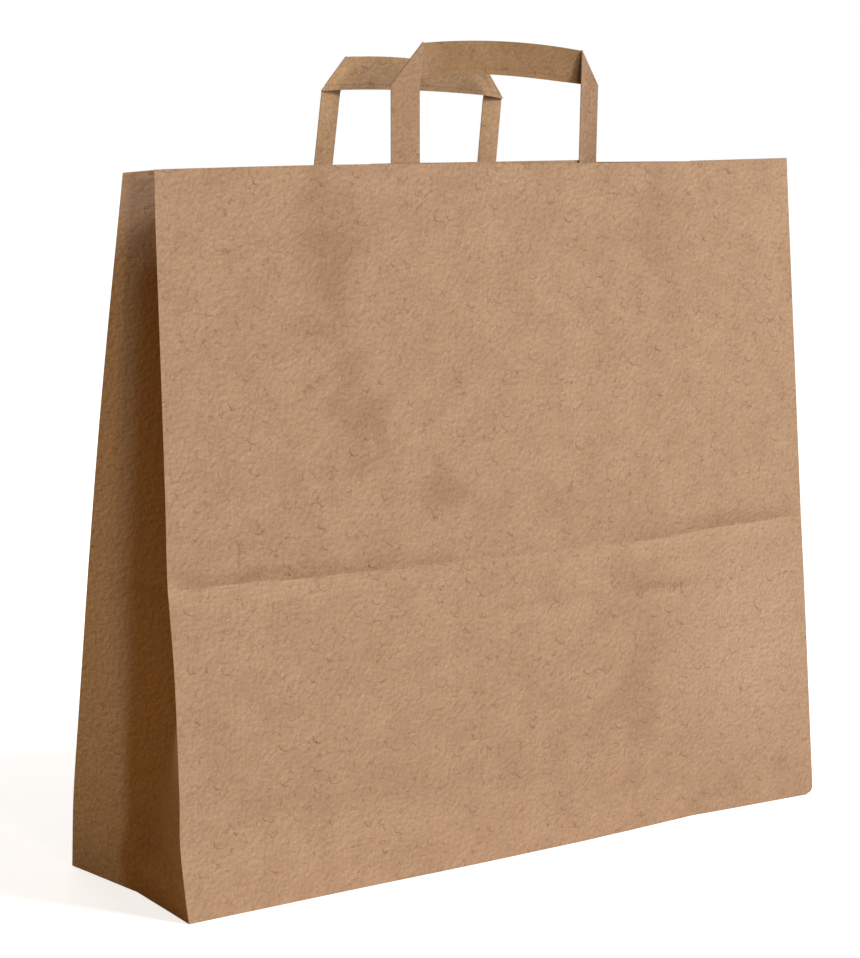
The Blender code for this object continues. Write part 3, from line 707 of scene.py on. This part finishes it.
def leg_stations(handle, leg, panel, inward, rim):
    """Pairs of points up one leg, outer edge first, from the glued tail to the slanted fold."""
    rise = handle["rise"][leg]
    stations = []
    for height in evenly(-TAIL_LENGTH, 0.0, 14) + evenly(0.0, rise * 0.96, 12)[1:]:
        left, right = leg_edges(handle, leg, panel, inward, rim, height)
        stations.append((left, right) if leg == 0 else (right, left))
    low = leg_edges(handle, leg, panel, inward, rim, rise)
    high = leg_edges(handle, leg, panel, inward, rim, rise + handle["fold_rise"][leg])
    reach = Vector((handle["fold_reach"][leg], 0, 0))
    stations.append((low[0], high[1] + reach) if leg == 0 else (low[1], high[0] + reach))
    return stations


def fold_over(outer, inner, leg, inward):
    """The round of a slanted fold, from the leg's layer to the strip's layer on its inner side."""
    line = (inner - outer).normalized()
    across = Vector((1, 0, 0)) if leg == 0 else Vector((-1, 0, 0))
    normal = line.cross(across).normalized()
    if normal.y * inward < 0:
        normal = -normal
    away = line.cross(normal).normalized()
    if away.z < 0:
        away = -away
    pairs = []
    for angle in evenly(0.0, pi, 8)[1:]:
        shift = away * (FOLD_RADIUS * sin(angle)) + normal * (FOLD_RADIUS * (1 - cos(angle)))
        pairs.append((outer + shift, inner + shift))
    return pairs


def between_knots(knots, x):
    """The y at x on the straight lines through the knots."""
    for (x0, y0), (x1, y1) in zip(knots, knots[1:]):
        if x <= x1:
            break
    return y0 + (y1 - y0) * (x - x0) / (x1 - x0)


def strip_stations(handle, start, end, inner_edges, inward):
    """Pairs of points along the grip strip, lower edge first, between its two slanted folds."""
    low_start, high_start = start
    low_end, high_end = end
    knots = [(low_start.x, low_start.y)]
    for edge, opening in zip(inner_edges, handle["fold_opening"]):
        knots.append((edge.x, edge.y + inward * (2 * FOLD_RADIUS + opening)))
    knots.append((low_end.x, low_end.y))
    stations = []
    for share in evenly(0.0, 1.0, 48)[1:-1]:
        low = low_start.lerp(low_end, share)
        low.z += handle["arch_low"] * arch(share) * (1 + handle["skew"] * (1 - 2 * share))
        low.y = between_knots(knots, low.x)
        high = high_start.lerp(high_end, share)
        high.z += handle["arch_high"] * arch(share)
        near_fold = min(high.x - high_start.x, high_end.x - high.x) / SWELL_REACH
        high.y += inward * handle["swell"] * min(max(near_fold, 0.0), 1.0)
        sway = STRIP_SWAY * noise.noise(Vector((low.x / 0.02, inward * 9.0, 0.0)))
        low.y += sway
        high.y -= sway * 0.5
        stations.append((low, high))
    return stations


def handle_stations(handle, panel, inward, rim):
    """The whole tape as pairs of edge points, from one glued tail to the other."""
    left = leg_stations(handle, 0, panel, inward, rim)
    right = leg_stations(handle, 1, panel, inward, rim)
    over_left = fold_over(*left[-1], 0, inward)
    over_right = fold_over(*right[-1], 1, inward)
    inner_edges = (
        leg_edges(handle, 0, panel, inward, rim, handle["rise"][0])[1],
        leg_edges(handle, 1, panel, inward, rim, handle["rise"][1])[0],
    )
    strip = strip_stations(handle, over_left[-1], over_right[-1], inner_edges, inward)
    return left + over_left + strip + over_right[::-1] + right[::-1]


def swept_sheet(sheet, lines):
    """A first line of points drawn out by extruding its edges from line to line."""
    front = [sheet.verts.new(point) for point in lines[0]]
    edges = [sheet.edges.new(pair) for pair in zip(front, front[1:])]
    for line in lines[1:]:
        drawn = bmesh.ops.extrude_edge_only(sheet, edges=edges)["geom"]
        edges = [item for item in drawn if isinstance(item, bmesh.types.BMEdge)]
        fresh = {item for item in drawn if isinstance(item, bmesh.types.BMVert)}
        ahead = []
        for vertex in front:
            ahead += [edge.other_vert(vertex) for edge in vertex.link_edges if edge.other_vert(vertex) in fresh]
        for vertex, point in zip(ahead, line):
            vertex.co = point
        front = ahead


def across_tape(stations, start, end, count, lift):
    """Lines of points across the tape between two shares of its width, lifted off its middle plane."""
    lines = []
    for number, (low, high) in enumerate(stations):
        following = stations[min(number + 1, len(stations) - 1)]
        previous = stations[max(number - 1, 0)]
        along = (following[0] + following[1] - previous[0] - previous[1]).normalized()
        normal = (high - low).cross(along).normalized()
        lines.append([low.lerp(high, share) + normal * lift for share in evenly(start, end, count)])
    return lines


# The lap runs between these shares of the tape's width. The front handle's second side, which its grip strip
# and lap show, is a darker copy of its paper, as painted shade; the strip is paler at its left end, where that
# painted shade is lighter, and its right leg, turned away, has painted shade that makes it darker than its left one.
LAP_EDGE = 0.17
LAP_FAR_EDGE = 0.985
LAP_LAYER = 0.00016
STRIP_END_LIGHTER_SHADE = (((-0.070, -0.035, 0.540), (0.034, 0.05, 0.05), 0.75, "B08D70"),)
RIGHT_LEG_SHADE = (((0.088, -0.035, 0.500), (0.034, 0.05, 0.09), 0.55, "94735A"),)
# Painted shade: a darker copy of the tape paper for the front handle's second side, and a darker right leg
front_papers = (
    kraft_paper("kraft_handle_tape", "AB886B", "B69376", RIGHT_LEG_SHADE),
    kraft_paper("kraft_handle_tape_lap_side_painted_shade", "9A7755", "A5825F", STRIP_END_LIGHTER_SHADE),
)
# Painted light: both sides of the back handle's tape are a paler copy of the tape paper, brightening a handle that the
# lamps light less than the front one
back_papers = (kraft_paper("kraft_handle_tape_painted_light", "BA9672", "C5A17D"),) * 2
for side, handle, panel, inward, rim, (tape_paper, lap_paper) in (
    ("front", FRONT_HANDLE, front_panel, 1, FRONT_RIM_HEIGHT, front_papers),
    ("back", BACK_HANDLE, back_panel, -1, BACK_RIM_HEIGHT, back_papers),
):
    stations = handle_stations(handle, panel, inward, rim)
    tape_sheet = bmesh.new()
    swept_sheet(tape_sheet, across_tape(stations, 0.0, 1.0, 8, 0.0))
    bmesh.ops.recalc_face_normals(tape_sheet, faces=tape_sheet.faces)
    tape = finished_sheet(side + "_handle_tape", tape_sheet, TAPE_THICKNESS, 40, 1)
    in_use(tape, [tape_paper, lap_paper], "kraft_tape", side + "_handle")
    lap_sheet = bmesh.new()
    lift = -(TAPE_THICKNESS + LAP_LAYER) / 2
    swept_sheet(lap_sheet, across_tape(stations, LAP_EDGE, LAP_FAR_EDGE, 6, lift))
    bmesh.ops.recalc_face_normals(lap_sheet, faces=lap_sheet.faces)
    lap = finished_sheet(side + "_handle_lap", lap_sheet, LAP_LAYER, 40)
    in_use(lap, [lap_paper], "kraft_tape", side + "_handle")

# Handle patches
# A strip of the same paper glued over each handle's two tails on the inside of its panel. It stands a little
# proud of the front rim between the legs, and lifts where a leg turns out beneath it.
PATCH_HEIGHT = 0.045
PATCH_MARGIN = 0.007
PATCH_SLOPE = 0.012
PATCH_LEAST_SLOPE = 0.004
LEG_CLEARANCE = 0.0009


def patch_over_leg(handle, leg, panel, inward, rim, height, x):
    """How far in from the panel the patch lies where it passes over a leg."""
    left, right = leg_edges(handle, leg, panel, inward, rim, height)
    tape_y = left.y + (right.y - left.y) * (x - left.x) / (right.x - left.x)
    turn = sin(radians(handle["twist"][leg]) * turned_share(height))
    room = GLUE + LAP_LAYER + LEG_CLEARANCE * turn
    on_panel = rim + min(height, 0.0)
    return inward * (tape_y - panel_y(panel, x, on_panel)) + (TAPE_THICKNESS + PAPER) / 2 + room


def patch_offset(handle, panel, inward, rim, height, x, ends):
    """How far in from the panel the patch lies: flat on it, or held off by the legs beneath."""
    offset = PAPER + GLUE
    for leg in (0, 1):
        centre = handle["shift"] + (leg - 0.5) * handle["spacing"]
        reach = TAPE_WIDTH / 2 + LEG_CLEARANCE
        nearest = min(max(x, centre - reach), centre + reach)
        held = patch_over_leg(handle, leg, panel, inward, rim, height, nearest)
        at_rim = patch_over_leg(handle, leg, panel, inward, rim, 0.0, nearest)
        room_beside = max(abs((ends[0] if x < centre else ends[1]) - nearest), PATCH_LEAST_SLOPE)
        slope = min(PATCH_SLOPE + 1.5 * at_rim, room_beside)
        away = min(abs(x - nearest) / slope, 1.0)
        offset = max(offset, held * (1 - away * away * (3 - 2 * away)))
    return offset


# Each patch is glued a little to one side of its handle's middle, and ends above or below its rim
PATCH_COLUMNS = 90
PATCH_ROWS = 18
patch_paper = kraft_paper("kraft_patch_paper", "AE8B6E", "B99679")
for side, handle, panel, inward, rim, shift, proud in (
    ("front", FRONT_HANDLE, front_panel, 1, FRONT_RIM_HEIGHT, -0.0090, 0.0013),
    ("back", BACK_HANDLE, back_panel, -1, BACK_RIM_HEIGHT, 0.0, -0.0010),
):
    centre = handle["shift"] + shift
    half = (handle["spacing"] + TAPE_WIDTH) / 2 + PATCH_MARGIN
    patch_heights = evenly(proud - PATCH_HEIGHT, proud, PATCH_ROWS)

    def patch_place(share, row):
        """A point of the patch, share running from its left end to its right."""
        x = centre + (2 * share - 1) * half
        height = patch_heights[row]
        y = panel_y(panel, x, rim + min(height, 0.0))
        offset = patch_offset(handle, panel, inward, rim, height, x, (centre - half, centre + half))
        return Vector((x, y + inward * offset, rim + height))

    patch_sheet = bmesh.new()
    placed_grid(patch_sheet, PATCH_COLUMNS, PATCH_ROWS, patch_place)
    patch = finished_sheet(side + "_patch_paper", patch_sheet, PAPER, 40)
    in_use(patch, [patch_paper], "kraft_patch", side + "_handle_patch")

# Floor and light
# A plain pale studio floor. The main light is a large soft one, high on the right in front of the bag, with a
# small fill beside it. Three weak warm ones, at the front left, the left and behind, stand for the light that
# brown paper lets through and throws back.
FLOOR_REACH = 12.0
FLOOR_DROP = 0.0004
FLOOR_GLOW = 0.72
WORLD_LIGHT = 0.10
floor_material = bpy.data.materials.new("pale_studio_floor")
floor_material.use_nodes = True
floor_shader = floor_material.node_tree.nodes["Principled BSDF"]
floor_shader.inputs["Base Color"].default_value = (0.80, 0.80, 0.80, 1.0)
floor_shader.inputs["Roughness"].default_value = 0.95
floor_shader.inputs["Specular IOR Level"].default_value = 0.1
floor_shader.inputs["Emission Color"].default_value = (1.0, 1.0, 1.0, 1.0)
floor_seen = add_node(floor_material, "LightPath", output="Is Camera Ray")
floor_glow = add_node(floor_material, "MapRange", {0: floor_seen, 4: FLOOR_GLOW}, **SMOOTH)
floor_material.node_tree.links.new(floor_shader.inputs["Emission Strength"], floor_glow)
floor_mesh = bmesh.new()
bmesh.ops.create_grid(floor_mesh, x_segments=1, y_segments=1, size=FLOOR_REACH)
bmesh.ops.translate(floor_mesh, verts=floor_mesh.verts, vec=(0, 0, -FLOOR_DROP))
floor_data = bpy.data.meshes.new("floor")
floor_mesh.to_mesh(floor_data)
floor_mesh.free()
floor = bpy.data.objects.new("floor", floor_data)
floor.data.materials.append(floor_material)
bpy.context.scene.collection.objects.link(floor)

LIT_POINT = Vector((0.0, 0.0, 0.22))


def studio_light(kind, azimuth, elevation, distance, power, colour=(1.0, 1.0, 1.0)):
    """A lamp of a kind, turned to the bag from an azimuth (degrees to the right of -Y) and an elevation."""
    level = cos(radians(elevation))
    direction = Vector((sin(radians(azimuth)) * level, -cos(radians(azimuth)) * level, sin(radians(elevation))))
    lamp = bpy.data.lights.new("lamp", kind)
    lamp.energy = power
    lamp.color = colour
    light = bpy.data.objects.new("lamp", lamp)
    light.location = LIT_POINT + direction * distance
    light.rotation_euler = direction.to_track_quat("Z", "Y").to_euler()
    bpy.context.scene.collection.objects.link(light)
    return lamp


studio_light("SUN", 38.0, 42.0, 3.0, 2.18).angle = radians(14)
studio_light("AREA", 62.0, 30.0, 1.6, 5.0).size = 0.60
studio_light("AREA", -13.0, 14.0, 3.2, 14.5, (1.0, 0.81, 0.50)).size = 0.25
studio_light("AREA", -100.0, 18.0, 2.0, 5.0, (1.0, 0.72, 0.36)).size = 0.80
studio_light("AREA", 165.0, 32.0, 2.4, 13.0, (1.0, 0.94, 0.86)).size = 1.20

world = bpy.data.worlds.new("studio")
world.use_nodes = True
surroundings = world.node_tree.nodes["Background"]
surroundings.inputs["Color"].default_value = (1.0, 1.0, 1.0, 1.0)
world_seen = add_node(world, "LightPath", output="Is Camera Ray")
world_strength = add_node(world, "MapRange", {0: world_seen, 3: WORLD_LIGHT}, **SMOOTH)
world.node_tree.links.new(surroundings.inputs["Strength"], world_strength)
bpy.context.scene.world = world
bpy.context.scene.view_settings.view_transform = "Standard"
